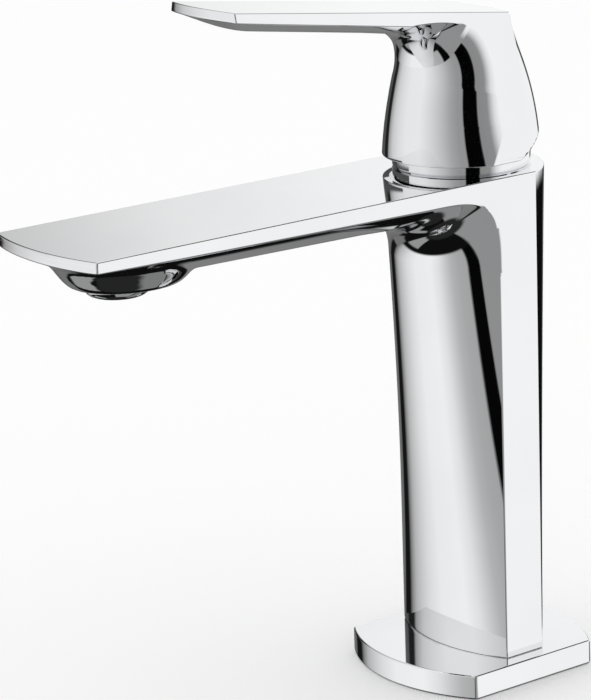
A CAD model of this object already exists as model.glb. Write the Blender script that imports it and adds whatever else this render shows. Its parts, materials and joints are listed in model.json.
"""Looks of the single-lever bathroom mixer: smooth chrome shells on the CAD frame, studio and camera."""
from collections import namedtuple
import json
import math

import bmesh
import bpy
from mathutils import Matrix, Vector


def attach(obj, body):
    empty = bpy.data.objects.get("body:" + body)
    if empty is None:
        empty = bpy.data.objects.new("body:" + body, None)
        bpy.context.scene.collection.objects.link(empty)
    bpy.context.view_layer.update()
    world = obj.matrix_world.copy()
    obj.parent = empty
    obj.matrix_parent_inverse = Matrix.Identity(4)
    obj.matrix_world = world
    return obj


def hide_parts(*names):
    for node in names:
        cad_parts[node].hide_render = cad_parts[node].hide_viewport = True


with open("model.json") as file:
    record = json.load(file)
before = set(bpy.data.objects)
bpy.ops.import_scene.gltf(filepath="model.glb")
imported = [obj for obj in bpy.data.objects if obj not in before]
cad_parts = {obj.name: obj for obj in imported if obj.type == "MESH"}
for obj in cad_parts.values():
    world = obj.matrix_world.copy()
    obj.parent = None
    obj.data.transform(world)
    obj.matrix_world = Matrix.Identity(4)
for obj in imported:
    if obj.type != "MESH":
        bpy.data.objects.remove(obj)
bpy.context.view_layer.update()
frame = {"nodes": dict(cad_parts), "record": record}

MM = 0.001

# ---- Sizes, in millimetres: the construction's, some of them fitted closer to the photograph ----

# Base plate, and the register under the body that sits in it
PLATE_W, PLATE_SIDE, PLATE_BOW, PLATE_T, PLATE_EDGE = 57.0, 44.4, 9.0, 7.3, 0.6
SUPPLY_W, REGISTER_W, REGISTER_H, REGISTER_SINK = 36.0, 1.6, 2.0, 0.4
GASKET_T, GASKET_INSET = 2.0, 4.0

# An arm that juts out towards the user: rows along it, length, bow of its tip, depth of its
# rounded belly, the part (1/ease) in which the belly settles, and how it closes at the tip
Arm = namedtuple("Arm", "rows length bow belly ease close power")
SPOUT = Arm(rows=150, length=147.7, bow=3.8, belly=8.6, ease=8.0, close=28.0, power=1.5)
LEVER = Arm(rows=90, length=92.0, bow=2.4, belly=3.4, ease=6.0, close=14.0, power=1.8)

# Body
HALF_W = 24.0
TOP = 151.6
FLAT_FRONT, FLAT_REAR = 6.0, 7.5
BOW_FRONT_LOW, BOW_FRONT_HIGH, BOW_POWER = 6.6, 16.0, 1.25
BOW_REAR_LOW, BOW_REAR_HIGH = 9.5, 15.5
ELBOW_R, ELBOW_POWER = 13.0, 4.0
BAND_TIP, BAND_ROOT = 3.2, 5.4
REACH, BOSS_R, BOSS_FLAT_R, BOSS_DROP, BOSS_OFFSET = 121.7, 25.6, 15.0, 13.7, 3.0
BOSS_NARROW, BOSS_BLEND = 1.12, 2.5

# Aerator housing
AERATOR_R, AERATOR_H, AERATOR_SHOW, AERATOR_WALL = 9.2, 9.0, 3.0, 1.2
AERATOR_EDGE, AERATOR_SHORT, AERATOR_LIP, AERATOR_LIP_T = 2.7, 1.4, 1.2, 1.0
WATERWAY_R, WATERWAY_ROOF = 3.5, 4.0

# Hollow of the body
CART_R, CART_H, SHOULDER_DROP, NUT_R, NUT_THREAD = 17.5, 32.0, 11.6, 19.0, 8.0
CART_FLOOR_Z = TOP - SHOULDER_DROP - CART_H
PORT_R, INLET_X, HOSE_R, HOSE_DEPTH, PORT_DEEP = 2.6, 8.0, 5.0, 9.0, 13.0
STUD_R, STUD_DEPTH, STUD_WALL, STUD_Y, STUD_Z = 4.0, 18.0, 2.0, 8.2, 9.3
HOSE_ROOM, STUD_PLAY = 2.5, 0.4

# Trim ring
RING_R, RING_H, RING_ROUND, RING_FOOT = 20.0, 6.4, 3.1, 0.6
COLLAR_R, COLLAR_H, LIP_R = 16.0, 3.6, 14.1

# Handle: skirt, leaning sides, lever, barrel and neck
SKIRT_R, SKIRT_GAP, SKIRT_H, SKIRT_WALL, SKIRT_EASE = 22.6, 3.3, 6.0, 1.6, 12.0
LEVER_HALF, SIDE_LEAN, LEVER_RISE = 14.3, 0.22, math.radians(7.2)
LEVER_BAND_TIP, LEVER_BAND_ROOT = 2.7, 4.4
HANDLE_TOP = TOP + 45.6
FLAT_LOW_Y, FLAT_HIGH_Y, FLAT_POWER = -6.5, 2.3, 1.5
BARREL_TOP_Y, BARREL_POWER, BARREL_LEAN = -19.1, 1.8, math.radians(14.5)
NECK_BOW, NECK_FILLET, NECK_POWER = 13.4, 11.5, 2.6
TOP_REAR, TOP_BOW = 10.2, 3.4
REAR_EDGE_Y, REAR_EDGE_BULGE, REAR_CREST_BULGE = 5.0, 1.4, 0.22

# Hollow of the handle, its lift and its screw
PIVOT_Z, LIFT, LIFT_GAP = TOP - 7.0, math.radians(25.0), 0.9
HUB_Z, HUB_REAR_Z, HUB_W, CAVITY_OVER_HUB, ROOF_R = TOP + 12.4, TOP + 15.4, 15.0, 11.6, 10.0
INSERT_W, INSERT_H = 11.1, 15.0
GRUB_R, BORE_START, BORE_END = 2.5, 4.0, 30.0
GRUB_Z = HUB_Z + INSERT_H / 2
CAP_R, CAP_T, CAP_DOME, CAP_EDGE, CAP_Y = 3.4, 1.5, 0.8, 0.6, 14.6

# Fit between pieces, fit round the cartridge, gap between faces that would coincide, and
# overshoot of cutting bodies
FIT, CART_FIT, SKIN, OVER = 0.05, 0.2, 0.02, 1.0

# Rounded edges, the margin that a test for edges left sharp keeps from their ends, and the
# angles over which an edge counts as hard
EDGE, LEVER_EDGE, EDGE_SEGMENTS = 0.45, 0.3, 3
EDGE_MARGIN = 0.5
CREASE = math.radians(24.0)
CAST_CREASE = math.radians(62.0)

# Fineness of the shells: segments across a row, and rows in each stretch
ROW_COUNT = 72
COLUMN_ROWS, ELBOW_ROWS, REAR_ROWS, TIP_ROWS = 90, 44, 24, 3
FOOT_ROWS, LEAN_ROWS, NECK_ROWS = 12, 30, 40

# ---- Mesh helpers ----

# Turns the Z axis of a revolved piece to +Y
BACKWARD = Matrix.Rotation(-math.pi / 2, 4, "X")


def add_object(name, bm):
    bmesh.ops.recalc_face_normals(bm, faces=bm.faces)
    mesh = bpy.data.meshes.new(name)
    bm.to_mesh(mesh)
    bm.free()
    obj = bpy.data.objects.new(name, mesh)
    bpy.context.scene.collection.objects.link(obj)
    return obj


def apply_modifiers(obj):
    depsgraph = bpy.context.evaluated_depsgraph_get()
    mesh = bpy.data.meshes.new_from_object(obj.evaluated_get(depsgraph))
    obj.modifiers.clear()
    old = obj.data
    obj.data = mesh
    bpy.data.meshes.remove(old)


def shade(obj, angle=CREASE):
    """Smooth faces, with edges sharper than the angle kept crisp and flats kept flat."""
    mesh = obj.data
    bm = bmesh.new()
    bm.from_mesh(mesh)
    for face in bm.faces:
        face.smooth = True
    for edge in bm.edges:
        edge.smooth = len(edge.link_faces) == 2 and edge.calc_face_angle(0.0) < angle
    bm.to_mesh(mesh)
    bm.free()
    weigh = obj.modifiers.new("flat_normals", "WEIGHTED_NORMAL")
    weigh.mode = "FACE_AREA"
    weigh.weight = 100
    weigh.keep_sharp = True
    apply_modifiers(obj)


def soften_edges(obj, width, skip=None):
    """Rounds the hard edges, but not those whose middle the skip test takes out."""
    bm = bmesh.new()
    bm.from_mesh(obj.data)
    weight = bm.edges.layers.float.new("bevel_weight_edge")
    for edge in bm.edges:
        middle = (edge.verts[0].co + edge.verts[1].co) / (2 * MM)
        hard = edge.calc_face_angle(0.0) > CREASE
        edge[weight] = 1.0 if hard and not (skip and skip(middle)) else 0.0
    bm.to_mesh(obj.data)
    bm.free()
    bevel = obj.modifiers.new("soft_edges", "BEVEL")
    bevel.width = width * MM
    bevel.segments = EDGE_SEGMENTS
    bevel.limit_method = "WEIGHT"
    bevel.use_clamp_overlap = False
    bevel.miter_outer = "MITER_ARC"
    apply_modifiers(obj)


def cut(obj, cutter, operation="DIFFERENCE"):
    change = obj.modifiers.new("cut", "BOOLEAN")
    change.operation = operation
    change.solver = "EXACT"
    change.object = cutter
    apply_modifiers(obj)
    bpy.data.objects.remove(cutter, do_unlink=True)


def point(x, y, z):
    return Vector((x, y, z)) * MM


def mix(a, b, t):
    return a + (b - a) * t


def smooth_max(a, b, width):
    h = max(width - abs(a - b), 0.0) / width
    return max(a, b) + h * h * h * width / 6


def arc_points(half, sagitta, count=ROW_COUNT):
    """Arc over a chord from -half to half: (across, height over the chord) pairs."""
    radius = (half * half + sagitta * sagitta) / (2 * sagitta)
    reach = math.atan2(half, radius - sagitta)
    return [
        (radius * math.sin(a), radius * math.cos(a) - radius + sagitta)
        for a in (reach * (2 * i / count - 1) for i in range(count + 1))
    ]


def quarter_turn(steps):
    return [math.pi / 2 * i / steps for i in range(steps + 1)]


def revolve(name, profile, steps=128, centre=(0, 0, 0), turn=None):
    """Closed solid of revolution round Z from (radius, height) pairs."""
    bm = bmesh.new()
    rings = []
    for radius, height in profile:
        if radius < 1e-6:
            rings.append([bm.verts.new((0, 0, height * MM))])
            continue
        rings.append([
            bm.verts.new((
                radius * MM * math.cos(2 * math.pi * i / steps),
                radius * MM * math.sin(2 * math.pi * i / steps),
                height * MM,
            ))
            for i in range(steps)
        ])
    for lower, upper in zip(rings, rings[1:] + rings[:1]):
        if len(lower) == 1 and len(upper) == 1:
            continue
        for i in range(steps):
            j = (i + 1) % steps
            quad = [lower[i % len(lower)], lower[j % len(lower)],
                    upper[j % len(upper)], upper[i % len(upper)]]
            corners = list(dict.fromkeys(quad))
            if len(corners) > 2:
                bm.faces.new(corners)
    if turn is not None:
        bmesh.ops.transform(bm, matrix=turn, verts=bm.verts)
    bmesh.ops.translate(bm, vec=point(*centre), verts=bm.verts)
    return add_object(name, bm)


def prism(name, outline, low, high):
    bm = bmesh.new()
    ends = [[bm.verts.new(point(x, y, z)) for x, y in outline] for z in (low, high)]
    bm.faces.new(ends[0])
    bm.faces.new(ends[1])
    for i in range(len(outline)):
        j = (i + 1) % len(outline)
        bm.faces.new((ends[0][i], ends[0][j], ends[1][j], ends[1][i]))
    return add_object(name, bm)


def rectangle(half, front, rear):
    return [(-half, front), (half, front), (half, rear), (-half, rear)]


def bowed_outline(half, side, bow, count=64):
    """Outline with straight sides at x = -half and half and bowed front and rear."""
    front = [(x, -side / 2 - h) for x, h in arc_points(half, bow, count)]
    return front + [(-x, -y) for x, y in front]


def supply_outline(margin, count=24):
    """Round-ended outline of the hollow column, grown by a margin."""
    front, back = HOSE_R + HOSE_ROOM, STUD_Y + STUD_R + STUD_PLAY
    radius = (front + back) / 2 + margin
    middle = (back - front) / 2
    outline = []
    for side in (1, -1):
        for i in range(count + 1):
            a = math.pi * (i / count - 0.5)
            outline.append((side * (SUPPLY_W / 2 + margin - radius + radius * math.cos(a)),
                            middle + side * radius * math.sin(a)))
    return outline


# ---- Inverted-L shells: body and handle share one construction ----


def shell(name, front_rows, tip_rows, rear_rows, foot=0):
    """Closed shell between two side flats, from rows of a front sheet and a rear sheet.

    A row is a list of points from -X to +X whose ends lie on the side flats.
    The front sheet runs from the foot up under the overhang to its tip.
    The lowest rows, as many as foot, are joined across the sides one by one.
    """
    bm = bmesh.new()
    front = [[bm.verts.new(p) for p in row] for row in front_rows]
    tip = [[bm.verts.new(p) for p in row] for row in tip_rows]
    rear = [[bm.verts.new(p) for p in row] for row in rear_rows]
    for sheet in (front, [front[-1]] + tip, rear):
        for lower, upper in zip(sheet, sheet[1:]):
            for i in range(ROW_COUNT):
                bm.faces.new((lower[i], lower[i + 1], upper[i + 1], upper[i]))
    bm.faces.new(tip[-1] + rear[-1][::-1])
    bm.faces.new(front[0] + rear[0][::-1])
    for end in (0, -1):
        for k in range(foot):
            bm.faces.new((front[k][end], front[k + 1][end], rear[k + 1][end], rear[k][end]))
        bm.faces.new([row[end] for row in front[foot:] + tip + rear[foot:][::-1]])
    return add_object(name, bm)


def bowed_row(half, chord, crest):
    """Row that is an arc through its crest, in the plane of X and chord to crest."""
    out = Vector((crest[0] - chord[0], crest[1] - chord[1]))
    sagitta = out.length
    return [
        point(x, chord[0] + out.x * h / sagitta, chord[1] + out.y * h / sagitta)
        for x, h in arc_points(half, sagitta)
    ]


def elbow_edge(angle, across, up, power):
    """Distance from the bend's pivot to the rounded corner of the side flat."""
    c, s = max(math.cos(angle), 0.0) / across, max(math.sin(angle), 0.0) / up
    return (c ** power + s ** power) ** (-1 / power)


def bend_rows(pivot, radius, start, end, steps, corner, half_at):
    """Rows round a bend, and the last row's chord and crest.

    corner gives the distance from the pivot to the side flat's edge at an angle.
    """
    rows = []
    for i in range(steps + 1):
        a = mix(start, end, i / steps)
        edge = corner(a)
        chord = (pivot[0] + edge * math.cos(a), pivot[1] + edge * math.sin(a))
        crest = (pivot[0] + radius * math.cos(a), pivot[1] + radius * math.sin(a))
        rows.append(bowed_row(half_at(*chord), chord, crest))
    return rows, chord, crest


def underside_rows(arm, chord, crest, root, half_at, height):
    """Rows of an arm's rounded underside, from the bend's last chord and crest to the tip.

    root is the belly's depth at the bend, and height gives a point's height from its place
    across and along, the place of its row and its depth below the side band.
    """
    corner = -(arm.length - arm.bow)
    rows = []
    for i in range(1, arm.rows + 1):
        t = i / arm.rows
        settled = min(1.0, t * arm.ease)
        along = mix(chord[0], corner, t)
        near_tip = max(0.0, 1 - (along - corner) / arm.close)
        close = 1 - near_tip ** arm.power
        half = half_at(along)
        row = []
        for (x, h), (_, tip_h) in zip(arc_points(half, arm.belly), arc_points(half, arm.bow)):
            skew = (crest[0] - chord[0]) * h / arm.belly * (1 - settled)
            y = along - tip_h * t * t + skew
            deep = h * mix(root / arm.belly, 1.0, settled) * close
            row.append(point(x, y, height(x, y, along, deep)))
        rows.append(row)
    return rows


def end_rows(arm, band, half_at, top_at):
    """Rows up the bowed end of an arm, from its underside to its top."""
    corner = arm.length - arm.bow
    rows = []
    for k in range(1, TIP_ROWS + 1):
        left = band * (1 - k / TIP_ROWS)
        arc = arc_points(half_at(left), arm.bow)
        rows.append([point(x, -corner - h, top_at(-corner - h) - left) for x, h in arc])
    return rows


# ---- Body ----


def front_bow(z):
    """Bow of the column's front at a height, which opens out towards the top."""
    t = (z - PLATE_T) / (TOP - PLATE_T)
    return mix(BOW_FRONT_LOW, BOW_FRONT_HIGH, t ** BOW_POWER)


def band_at(y):
    """Height of the spout's side band at a place along it."""
    t = (-y - FLAT_FRONT) / (SPOUT.length - FLAT_FRONT)
    return mix(BAND_ROOT, BAND_TIP, min(1.0, max(0.0, t)))


def spout_height(x, y, along, deep):
    """Height of the spout's underside, which the aerator's boss swells out of."""
    depth = band_at(along) + deep
    from_boss = math.hypot(BOSS_NARROW * x, y + REACH - BOSS_OFFSET)
    flare = min(1.0, (BOSS_R - from_boss) / (BOSS_R - BOSS_FLAT_R))
    if flare > 0:
        low = band_at(-REACH)
        bowl = low + (BOSS_DROP - low) * flare * flare * (3 - 2 * flare)
        depth = smooth_max(depth, bowl, BOSS_BLEND)
    return TOP - depth


def body_front_rows():
    lean = math.atan(BOW_POWER * (BOW_FRONT_HIGH - BOW_FRONT_LOW) / (TOP - PLATE_T))
    slope = (BAND_ROOT - BAND_TIP) / (SPOUT.length - FLAT_FRONT)
    pivot_z = TOP - BAND_ROOT - SPOUT.belly - ELBOW_R
    start_z = pivot_z + ELBOW_R * math.sin(lean)
    pivot_y = -(FLAT_FRONT + front_bow(start_z)) - ELBOW_R * math.cos(lean)
    across = -FLAT_FRONT - pivot_y
    band_up = TOP - band_at(pivot_y) - pivot_z

    rows = []
    for i in range(COLUMN_ROWS):
        t = i / COLUMN_ROWS
        z = mix(PLATE_T, start_z, t)
        chord_z = z + t * (across - ELBOW_R) * math.sin(lean)
        rows.append(bowed_row(HALF_W, (-FLAT_FRONT, chord_z), (-FLAT_FRONT - front_bow(z), z)))
    bend, chord, crest = bend_rows(
        (pivot_y, pivot_z), ELBOW_R, lean, math.pi / 2 - slope, ELBOW_ROWS,
        corner=lambda angle: elbow_edge(angle, across, band_up, ELBOW_POWER),
        half_at=lambda y, z: HALF_W)
    root = chord[1] - crest[1]
    return rows + bend + underside_rows(SPOUT, chord, crest, root, lambda y: HALF_W, spout_height)


def body_rear_rows():
    rows = []
    for i in range(REAR_ROWS + 1):
        t = i / REAR_ROWS
        z = mix(PLATE_T, TOP, t)
        bow = mix(BOW_REAR_LOW, BOW_REAR_HIGH, t)
        rows.append(bowed_row(HALF_W, (FLAT_REAR, z), (FLAT_REAR + bow, z)))
    return rows


def cut_cartridge_pocket(body):
    pocket_r = CART_R + CART_FIT
    cut(body, revolve("pocket", [
        (0, CART_FLOOR_Z), (pocket_r, CART_FLOOR_Z), (pocket_r, TOP - NUT_THREAD),
        (NUT_R + FIT, TOP - NUT_THREAD), (NUT_R + FIT, TOP + OVER), (0, TOP + OVER),
    ]))


def cut_supply_and_ports(body):
    port_floor = CART_FLOOR_Z - PORT_DEEP
    cut(body, prism("supply", supply_outline(0), PLATE_T - OVER, port_floor))
    for side in (-1, 1):
        cut(body, revolve("hose_port", [
            (0, port_floor - OVER), (HOSE_R, port_floor - OVER), (HOSE_R, port_floor + HOSE_DEPTH),
            (PORT_R, port_floor + HOSE_DEPTH), (PORT_R, CART_FLOOR_Z + OVER),
            (0, CART_FLOOR_Z + OVER),
        ], steps=48, centre=(side * INLET_X, 0, 0)))


def cut_aerator_pocket(body):
    low = TOP - BOSS_DROP
    step = low + AERATOR_H - AERATOR_SHOW
    cut(body, revolve("aerator_pocket", [
        (0, low - OVER), (AERATOR_R + FIT, low - OVER), (AERATOR_R + FIT, step),
        (WATERWAY_R, step), (WATERWAY_R, TOP - WATERWAY_ROOF), (0, TOP - WATERWAY_ROOF),
    ], centre=(0, -REACH, 0)))


def add_register_and_stud_boss(body):
    low, high = PLATE_T - REGISTER_H, PLATE_T + REGISTER_SINK
    lip = prism("register", supply_outline(REGISTER_W), low, high)
    cut(lip, prism("register_hole", supply_outline(0), low - OVER, high + OVER))
    cut(body, lip, "UNION")
    stud_top = STUD_Z + STUD_DEPTH
    cut(body, revolve("stud_boss", [
        (STUD_R, STUD_Z), (STUD_R + STUD_WALL, STUD_Z), (STUD_R + STUD_WALL, stud_top + STUD_WALL),
        (0, stud_top + STUD_WALL), (0, stud_top), (STUD_R, stud_top),
    ], steps=64, centre=(0, STUD_Y, 0)), "UNION")


def body_shell():
    tip = end_rows(SPOUT, BAND_TIP, lambda band: HALF_W, lambda y: TOP)
    body = shell("body_shell", body_front_rows(), tip, body_rear_rows())
    corner_top = TOP - BAND_ROOT - SPOUT.belly - ELBOW_R
    soften_edges(body, EDGE, skip=lambda at: (
        -FLAT_FRONT - EDGE_MARGIN < at.y < 0 and PLATE_T + EDGE_MARGIN < at.z < corner_top))
    cut_cartridge_pocket(body)
    cut_aerator_pocket(body)
    cut_supply_and_ports(body)
    add_register_and_stud_boss(body)
    shade(body, CAST_CREASE)
    return body


# ---- Handle ----


def handle_top_z(y):
    return HANDLE_TOP - y * math.tan(LEVER_RISE)


def side_x(y, z):
    """Half width of the handle's leaning side flat, which turns upright in its foot."""
    eased = TOP + SKIRT_GAP + SKIRT_EASE
    below = max(0.0, eased - z)
    leaning = handle_top_z(y) - max(z, eased) + below - below * below / (2 * SKIRT_EASE)
    return LEVER_HALF + SIDE_LEAN * leaning


def lever_band(y):
    t = (-y - FLAT_FRONT) / (LEVER.length - FLAT_FRONT)
    return mix(LEVER_BAND_ROOT, LEVER_BAND_TIP, min(1.0, max(0.0, t)))


def lever_half(band):
    """Half width of the lever at a depth below its top."""
    return LEVER_HALF + SIDE_LEAN * band


def handle_front_rows():
    low = TOP + SKIRT_GAP
    eased = low + SKIRT_EASE
    rise = math.tan(LEVER_RISE)
    under = HANDLE_TOP + (NECK_BOW + FLAT_FRONT + NECK_FILLET) * rise - LEVER_BAND_ROOT - LEVER.belly
    pivot_z = under - NECK_FILLET * math.cos(LEVER_RISE)
    pivot_y = BARREL_TOP_Y - NECK_FILLET * math.cos(BARREL_LEAN)
    start_z = pivot_z - NECK_FILLET * math.sin(BARREL_LEAN)
    across = FLAT_HIGH_Y - pivot_y
    band_up = handle_top_z(pivot_y) - lever_band(pivot_y) - pivot_z
    drop = across * math.tan(BARREL_LEAN) - NECK_FILLET * math.sin(BARREL_LEAN)

    def barrel_row(z):
        t = (z - low) / (start_z - low)
        crest_y = mix(-SKIRT_R, BARREL_TOP_Y, t ** BARREL_POWER)
        flat_y = mix(FLAT_LOW_Y, FLAT_HIGH_Y, 1 - (1 - t) ** FLAT_POWER)
        chord_z = z - drop * t * t
        return bowed_row(side_x(flat_y, chord_z), (flat_y, chord_z), (crest_y, z))

    def corner(angle):
        if angle > 0:
            return elbow_edge(angle, across, band_up, NECK_POWER)
        return across / math.cos(angle)

    rows = [barrel_row(mix(low, eased, k / FOOT_ROWS)) for k in range(FOOT_ROWS)]
    rows += [barrel_row(mix(eased, start_z, k / LEAN_ROWS)) for k in range(LEAN_ROWS)]
    bend, chord, crest = bend_rows(
        (pivot_y, pivot_z), NECK_FILLET, -BARREL_LEAN, math.pi / 2 - LEVER_RISE, NECK_ROWS,
        corner, side_x)
    root = handle_top_z(chord[0]) - lever_band(chord[0]) - (
        crest[1] + (crest[0] - chord[0]) * rise)
    return rows + bend + underside_rows(
        LEVER, chord, crest, root, lambda y: lever_half(lever_band(y)),
        height=lambda x, y, along, deep: handle_top_z(y) - lever_band(along) - deep)


def handle_rear_row(z, upright):
    """Row of the handle's bulging rear; heights above upright stretch to the sloping top."""
    t = max(0.0, (z - upright) / (HANDLE_TOP - upright))
    bulge = math.sin(math.pi * t)
    chord_y = mix(REAR_EDGE_Y, TOP_REAR - TOP_BOW, t) + REAR_EDGE_BULGE * bulge
    crest_y = mix(SKIRT_R, TOP_REAR, t - REAR_CREST_BULGE * bulge)
    chord_z = mix(upright, handle_top_z(chord_y), t) if t > 0 else z
    crest_z = mix(upright, handle_top_z(crest_y), t) if t > 0 else z
    sagitta = crest_y - chord_y
    return [
        point(x, chord_y + h, mix(chord_z, crest_z, h / sagitta))
        for x, h in arc_points(side_x(chord_y, chord_z), sagitta)
    ]


def handle_rear_rows(upright):
    low = TOP + SKIRT_GAP
    eased = low + SKIRT_EASE
    heights = [mix(low, eased, k / FOOT_ROWS) for k in range(FOOT_ROWS)]
    heights += [mix(eased, HANDLE_TOP, k / LEAN_ROWS) for k in range(LEAN_ROWS + 1)]
    return [handle_rear_row(z, upright) for z in heights]


def trim_for_lift(handle):
    """Cuts the rear of the handle's foot away where it would meet the body at full lift."""
    bm = bmesh.new()
    bm.from_mesh(handle.data)
    normal = Matrix.Rotation(LIFT, 3, "X") @ Vector((0, 0, 1))
    place = point(0, 0, PIVOT_Z) + normal * (TOP + LIFT_GAP - PIVOT_Z) * MM
    bmesh.ops.bisect_plane(
        bm, geom=bm.verts[:] + bm.edges[:] + bm.faces[:], plane_co=place, plane_no=normal,
        clear_inner=True)
    bmesh.ops.holes_fill(bm, edges=[edge for edge in bm.edges if edge.is_boundary])
    bmesh.ops.recalc_face_normals(bm, faces=bm.faces)
    bm.to_mesh(handle.data)
    bm.free()


def cut_handle_hollow(handle, upright):
    """Cuts the cavity over the trim ring, but for the hub, and the hub's socket and screw bore."""
    inner = SKIRT_R - SKIRT_WALL
    low, roof = TOP + SKIRT_GAP - OVER, HUB_REAR_Z + CAVITY_OVER_HUB
    cavity = revolve("cavity", [(0, low), (inner, low), (inner, upright), (ROOF_R, roof), (0, roof)])
    half = HUB_W / 2
    cut(cavity, prism("hub", rectangle(half, -half, half), HUB_Z, roof + OVER))
    cut(cavity, prism("hub_rear", rectangle(half, 0, SKIRT_R), HUB_REAR_Z, roof + OVER))
    cut(handle, cavity)
    socket = INSERT_W / 2 + FIT
    socket_top = HUB_Z + INSERT_H + FIT
    cut(handle, prism("socket", rectangle(socket, -socket, socket), HUB_Z - OVER, socket_top))
    cut(handle, revolve("screw_bore", [
        (0, BORE_START), (GRUB_R, BORE_START), (GRUB_R, CAP_Y), (CAP_R + FIT, CAP_Y),
        (CAP_R + FIT, BORE_END), (0, BORE_END),
    ], steps=64, centre=(0, 0, GRUB_Z), turn=BACKWARD))


def handle_shell():
    upright = TOP + SKIRT_GAP + SKIRT_H
    tip = end_rows(LEVER, LEVER_BAND_TIP, lever_half, handle_top_z)
    handle = shell("handle_shell", handle_front_rows(), tip, handle_rear_rows(upright),
                   foot=FOOT_ROWS + LEAN_ROWS - 1)
    trim_for_lift(handle)
    soften_edges(handle, LEVER_EDGE, skip=lambda at: (
        at.y > 0 and upright < at.z < handle_top_z(at.y) - EDGE_MARGIN))
    cut_handle_hollow(handle, upright)
    shade(handle, CAST_CREASE)
    return handle


# ---- Smaller chrome pieces ----


def base_plate_shell():
    plate = prism("base_plate_shell", bowed_outline(PLATE_W / 2, PLATE_SIDE, PLATE_BOW), 0, PLATE_T)
    soften_edges(plate, PLATE_EDGE)
    cut(plate, prism("opening", supply_outline(REGISTER_W + FIT), -OVER, PLATE_T + OVER))
    inset = GASKET_INSET - FIT
    groove = bowed_outline(PLATE_W / 2 - inset, PLATE_SIDE - inset, PLATE_BOW - inset / 2)
    cut(plate, prism("groove", groove, -OVER, GASKET_T))
    shade(plate)
    return plate


def trim_ring_shell():
    low = TOP + SKIN
    top = low + RING_H
    rounded = [
        (RING_R - RING_ROUND * (1 - math.cos(a)), top - RING_ROUND * (1 - math.sin(a)))
        for a in quarter_turn(8)
    ]
    ring = revolve("trim_ring_shell", [
        (COLLAR_R + FIT, low), (RING_R - RING_FOOT, low), (RING_R, low + RING_FOOT), *rounded,
        (LIP_R, top),
        (LIP_R, low + COLLAR_H + FIT), (COLLAR_R + FIT, low + COLLAR_H + FIT),
    ], steps=192)
    shade(ring)
    return ring


def aerator_shell():
    low = TOP - BOSS_DROP - AERATOR_SHOW
    high = low + AERATOR_H - AERATOR_SHORT
    inner = AERATOR_R - AERATOR_WALL
    outlet = inner - AERATOR_LIP
    rounded = [
        (AERATOR_R - AERATOR_EDGE * (1 - math.sin(a)), low + AERATOR_EDGE * (1 - math.cos(a)))
        for a in quarter_turn(6)
    ]
    aerator = revolve("aerator_shell", [
        (outlet, low), *rounded, (AERATOR_R, high), (inner, high),
        (inner, low + AERATOR_LIP_T), (outlet, low + AERATOR_LIP_T),
    ], steps=160, centre=(0, -REACH, 0))
    shade(aerator)
    return aerator


def screw_cap_shell():
    steps = 6
    dome = [
        (CAP_R * math.sin(a), CAP_T - CAP_DOME * (1 - math.cos(a)))
        for a in (math.pi / 3 * (steps - i) / steps for i in range(1, steps))
    ]
    cap = revolve("screw_cap_shell", [
        (0, SKIN), (CAP_R, SKIN), (CAP_R, CAP_T - CAP_EDGE), *dome, (0, CAP_T),
    ], steps=96, centre=(0, CAP_Y, GRUB_Z), turn=BACKWARD)
    shade(cap)
    return cap


# ---- Materials ----

# Noise values that give the lowest and highest roughness, and the dark and light colour
NOISE_LOW, NOISE_HIGH = 0.3, 0.7
PATCH_LOW, PATCH_HIGH = 0.35, 0.65
# By slot: name, dark and light colour, metallic, roughness, and scale and depth (mm) of the grain
PLAIN_LOOKS = {
    "brass": ("machined_brass", (0.66, 0.47, 0.19), (0.80, 0.60, 0.28), 1.0, 0.28, 900, 0.01),
    "rubber": ("black_rubber", (0.018, 0.018, 0.02), (0.035, 0.035, 0.038), 0.0, 0.65, 1400, 0.02),
    "steel": ("stainless_steel", (0.50, 0.51, 0.53), (0.62, 0.63, 0.65), 1.0, 0.3, 1200, 0.008),
    "cartridge_plastic": ("pale_plastic", (0.74, 0.75, 0.74), (0.80, 0.81, 0.80), 0.0, 0.42, 700, 0.01),
    "dark_plastic": ("dark_plastic", (0.05, 0.052, 0.056), (0.075, 0.078, 0.082), 0.0, 0.4, 700, 0.01),
    "ceramic": ("lapped_ceramic", (0.84, 0.82, 0.78), (0.88, 0.87, 0.84), 0.0, 0.18, 500, 0.002),
}


def new_material(name, colour, metallic, roughness):
    material = bpy.data.materials.new(name)
    material.use_nodes = True
    shader = material.node_tree.nodes["Principled BSDF"]
    shader.inputs["Base Color"].default_value = (*colour, 1)
    shader.inputs["Metallic"].default_value = metallic
    shader.inputs["Roughness"].default_value = roughness
    return material, material.node_tree, shader


def noise(tree, scale, detail=3.0):
    place = tree.nodes.new("ShaderNodeTexCoord")
    texture = tree.nodes.new("ShaderNodeTexNoise")
    texture.inputs["Scale"].default_value = scale
    texture.inputs["Detail"].default_value = detail
    tree.links.new(place.outputs["Object"], texture.inputs["Vector"])
    return texture


def vary_roughness(tree, shader, scale, low, high):
    texture = noise(tree, scale)
    spread = tree.nodes.new("ShaderNodeMapRange")
    spread.inputs["From Min"].default_value = NOISE_LOW
    spread.inputs["From Max"].default_value = NOISE_HIGH
    spread.inputs["To Min"].default_value = low
    spread.inputs["To Max"].default_value = high
    tree.links.new(texture.outputs["Fac"], spread.inputs["Value"])
    tree.links.new(spread.outputs["Result"], shader.inputs["Roughness"])


def add_bump(tree, shader, scale, distance):
    texture = noise(tree, scale, 4.0)
    bump = tree.nodes.new("ShaderNodeBump")
    bump.inputs["Distance"].default_value = distance * MM
    tree.links.new(texture.outputs["Fac"], bump.inputs["Height"])
    tree.links.new(bump.outputs["Normal"], shader.inputs["Normal"])


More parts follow.
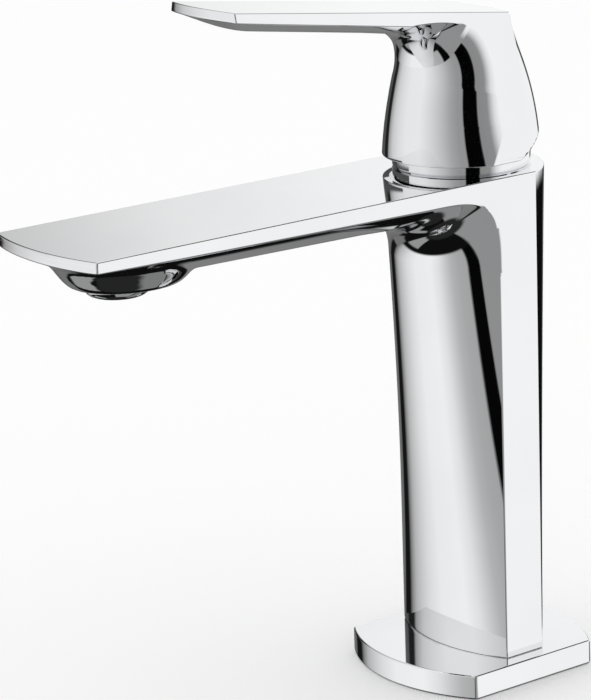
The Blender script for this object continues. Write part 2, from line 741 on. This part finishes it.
def vary_colour(tree, shader, scale, dark, light):
    texture = noise(tree, scale)
    ramp = tree.nodes.new("ShaderNodeValToRGB")
    ramp.color_ramp.elements[0].color = (*dark, 1)
    ramp.color_ramp.elements[0].position = PATCH_LOW
    ramp.color_ramp.elements[1].color = (*light, 1)
    ramp.color_ramp.elements[1].position = PATCH_HIGH
    tree.links.new(texture.outputs["Fac"], ramp.inputs["Fac"])
    tree.links.new(ramp.outputs["Color"], shader.inputs["Base Color"])


def chrome():
    material, tree, shader = new_material("polished_chrome", (0.86, 0.87, 0.88), 1.0, 0.03)
    vary_roughness(tree, shader, 60.0, 0.018, 0.04)
    vary_colour(tree, shader, 25.0, (0.85, 0.86, 0.87), (0.885, 0.89, 0.90))
    return material


def plain(name, dark, light, metallic, rough, grain, depth):
    """Material with a fine grain, and coarser patches of colour and roughness."""
    material, tree, shader = new_material(name, light, metallic, rough)
    vary_colour(tree, shader, grain / 3, dark, light)
    vary_roughness(tree, shader, grain / 2, rough * 0.8, rough * 1.2)
    add_bump(tree, shader, grain, depth)
    return material


def make_materials():
    looks = {"chrome": chrome()}
    for slot, look in PLAIN_LOOKS.items():
        looks[slot] = plain(*look)
    return looks


def dress(obj, material):
    obj.data.materials.clear()
    obj.data.materials.append(material)


# ---- Studio ----

# The studio that the chrome mirrors, in degrees: headings from the spout's direction (-Y) towards
# +X, heights over the horizon. Each wall is a list of (heading, brightness), joined by slopes.
LOWER_WALL = [
    (-180, 0.003), (-150, 0.003), (-140, 0.10), (-128, 0.20), (-112, 0.16), (-106, 0.12),
    (-104, 0.008), (-93, 0.008), (-88, 0.24), (-80, 0.50), (-70, 0.66), (-60, 0.80), (-45, 0.94),
    (-20, 0.97), (-8, 0.84), (2, 0.64), (10, 0.50), (20, 0.43), (30, 0.41), (31.5, 0.002),
    (45, 0.002), (46.5, 0.30), (88, 0.30), (104, 0.80), (116, 1.0), (150, 1.0), (154, 0.003),
]
UPPER_WALL = [
    (-180, 1.0), (-129, 0.98), (-125, 0.84), (-122, 0.60), (-117, 0.16), (-110, 0.12),
    (-99, 0.08), (-97, 0.015), (-86, 0.015), (-82, 0.36), (-70, 0.66), (-57, 0.79),
    (-40, 0.90), (-15, 0.92), (-4, 0.83), (10, 0.70), (24, 0.55), (36, 0.41), (48, 0.33),
    (56, 0.33), (57, 0.001), (80, 0.001), (81, 0.27), (98, 0.29), (110, 0.80), (120, 1.0),
]
WALL_SEAM = (-14.2, -12.8)
TABLE_EDGE = (-41.0, -36.0)
TABLE = 0.005
# Cards laid over the walls in turn: heading, half width, height, half height, softness, brightness
CARDS = [
    (0, 180, -90, 16, 5, 0.02),
    (86, 37, -47, 21, 6, 0.30),
    (-68, 14, -58, 9, 4, 0.32),
    (166, 26, -53, 16, 7, 0.22),
    (-134, 9, -33, 6, 4, 0.22),
    (-98, 8, -36, 6, 4, 0.18),
    (-128, 24, -9, 4, 3, 0.08),
    (-78, 30, 13.5, 1.2, 0.8, 0.08),
    (-180, 30, -15, 2, 1, 0.004),
    (155, 30, 52, 14, 8, 0.05),
]
FULL_TURN = 360.0


def math_node(tree, operation, *values):
    node = tree.nodes.new("ShaderNodeMath")
    node.operation = operation
    for socket, value in zip(node.inputs, values):
        if isinstance(value, (int, float)):
            socket.default_value = value
        else:
            tree.links.new(value, socket)
    return node.outputs[0]


def smooth_range(tree, value, low, high):
    """0 below low and 1 above high, or the other way round when low is the greater."""
    node = tree.nodes.new("ShaderNodeMapRange")
    node.interpolation_type = "SMOOTHSTEP"
    node.inputs["From Min"].default_value = low
    node.inputs["From Max"].default_value = high
    tree.links.new(value, node.inputs["Value"])
    return node.outputs["Result"]


def blend(tree, factor, a, b):
    node = tree.nodes.new("ShaderNodeMix")
    for name, value in (("Factor", factor), ("A", a), ("B", b)):
        socket = node.inputs[name]
        if isinstance(value, float):
            socket.default_value = value
        else:
            tree.links.new(value, socket)
    return node.outputs["Result"]


def wall(tree, heading, stops):
    """Brightness round the horizon, from a list of (heading, brightness)."""
    turned = math_node(tree, "DIVIDE", math_node(tree, "ADD", heading, FULL_TURN / 2), FULL_TURN)
    node = tree.nodes.new("ShaderNodeValToRGB")
    ramp = node.color_ramp
    for i, (at, level) in enumerate(stops):
        place = at / FULL_TURN + 0.5
        stop = ramp.elements[i] if i < 2 else ramp.elements.new(place)
        stop.position = place
        stop.color = (level, level, level, 1)
    tree.links.new(turned, node.inputs["Fac"])
    return node.outputs["Color"]


def card(tree, heading, height, level, az, half_az, el, half_el, soft, bright):
    """Lays one soft-edged card of a given brightness over the studio so far."""
    turned = math_node(tree, "WRAP", math_node(tree, "SUBTRACT", heading, az),
                       FULL_TURN / 2, -FULL_TURN / 2)
    across = smooth_range(tree, math_node(tree, "ABSOLUTE", turned), half_az + soft, half_az)
    raised = math_node(tree, "ABSOLUTE", math_node(tree, "SUBTRACT", height, el))
    upright = smooth_range(tree, raised, half_el + soft, half_el)
    return blend(tree, math_node(tree, "MULTIPLY", across, upright), level, bright)


def background(tree, colour):
    node = tree.nodes.new("ShaderNodeBackground")
    if isinstance(colour, float):
        node.inputs["Color"].default_value = (colour, colour, colour, 1)
    else:
        tree.links.new(colour, node.inputs["Color"])
    return node.outputs[0]


def either(tree, factor, a, b):
    node = tree.nodes.new("ShaderNodeMixShader")
    for socket, value in zip(node.inputs, (factor, a, b)):
        tree.links.new(value, socket)
    return node.outputs[0]


def studio_world():
    """Studio for glossy rays alone; all other rays see plain white."""
    world = bpy.data.worlds.new("studio")
    bpy.context.scene.world = world
    world.use_nodes = True
    tree = world.node_tree
    tree.nodes.clear()
    place = tree.nodes.new("ShaderNodeTexCoord")
    parts = tree.nodes.new("ShaderNodeSeparateXYZ")
    tree.links.new(place.outputs["Generated"], parts.inputs[0])
    x, y, z = parts.outputs
    around = math_node(tree, "ARCTAN2", x, math_node(tree, "MULTIPLY", y, -1.0))
    heading = math_node(tree, "DEGREES", around)
    height = math_node(tree, "DEGREES", math_node(tree, "ARCSINE", z))

    walls = blend(tree, smooth_range(tree, height, *WALL_SEAM),
                  wall(tree, heading, LOWER_WALL), wall(tree, heading, UPPER_WALL))
    level = blend(tree, smooth_range(tree, height, *TABLE_EDGE), TABLE, walls)
    for size in CARDS:
        level = card(tree, heading, height, level, *size)

    ray = tree.nodes.new("ShaderNodeLightPath")
    white = background(tree, 1.0)
    seen = either(tree, ray.outputs["Is Glossy Ray"], white, background(tree, level))
    output = tree.nodes.new("ShaderNodeOutputWorld")
    tree.links.new(either(tree, ray.outputs["Is Camera Ray"], seen, white), output.inputs["Surface"])


FLOOR_HALF, FLOOR_DROP = 3000.0, 0.2


def studio_floor():
    """White floor that keeps the shadow and isn't mirrored in the chrome."""
    bm = bmesh.new()
    bmesh.ops.create_grid(bm, x_segments=1, y_segments=1, size=FLOOR_HALF * MM)
    floor = add_object("floor", bm)
    floor.location.z = -FLOOR_DROP * MM
    dress(floor, new_material("floor_white", (1.0, 1.0, 1.0), 0.0, 0.9)[0])
    floor.visible_glossy = False


# Camera fitted to the photograph: place in metres, heading, tilt, roll and focal length
CAMERA_AT = (0.7274, -0.61405, 0.36046)
CAMERA_HEADING = math.radians(52.82)
CAMERA_DOWN = math.radians(15.48)
CAMERA_ROLL = math.radians(-1.96)
FOCAL_PX, PHOTO_HEIGHT_PX = 3367.7, 700


def add_camera():
    data = bpy.data.cameras.new("camera")
    camera = bpy.data.objects.new("camera", data)
    bpy.context.scene.collection.objects.link(camera)
    bpy.context.scene.camera = camera
    data.sensor_width = 36.0
    data.lens = data.sensor_width * (FOCAL_PX / PHOTO_HEIGHT_PX)
    data.clip_start, data.clip_end = 0.01, 20.0
    ahead = Vector((
        -math.sin(CAMERA_HEADING) * math.cos(CAMERA_DOWN),
        math.cos(CAMERA_HEADING) * math.cos(CAMERA_DOWN),
        -math.sin(CAMERA_DOWN),
    ))
    camera.location = CAMERA_AT
    turn = ahead.to_track_quat("-Z", "Y").to_matrix() @ Matrix.Rotation(CAMERA_ROLL, 3, "Z")
    camera.rotation_mode = "QUATERNION"
    camera.rotation_quaternion = turn.to_quaternion()


# ---- Assembly ----

SHELLS = [
    (body_shell, "faucet", "body"),
    (base_plate_shell, "faucet", "base_plate"),
    (trim_ring_shell, "faucet", "trim_ring"),
    (aerator_shell, "faucet", "aerator_housing"),
    (handle_shell, "lever", "handle"),
    (screw_cap_shell, "lever", "screw_cap"),
]

materials = make_materials()
for make, body, node in SHELLS:
    piece = make()
    dress(piece, materials["chrome"])
    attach(piece, body)
    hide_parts(node)

slots = {part["node"]: part["material_slot"] for part in frame["record"]["subparts"]}
for node, obj in frame["nodes"].items():
    dress(obj, materials[slots[node]])

studio_world()
studio_floor()
add_camera()
bpy.context.scene.view_settings.view_transform = "Standard"
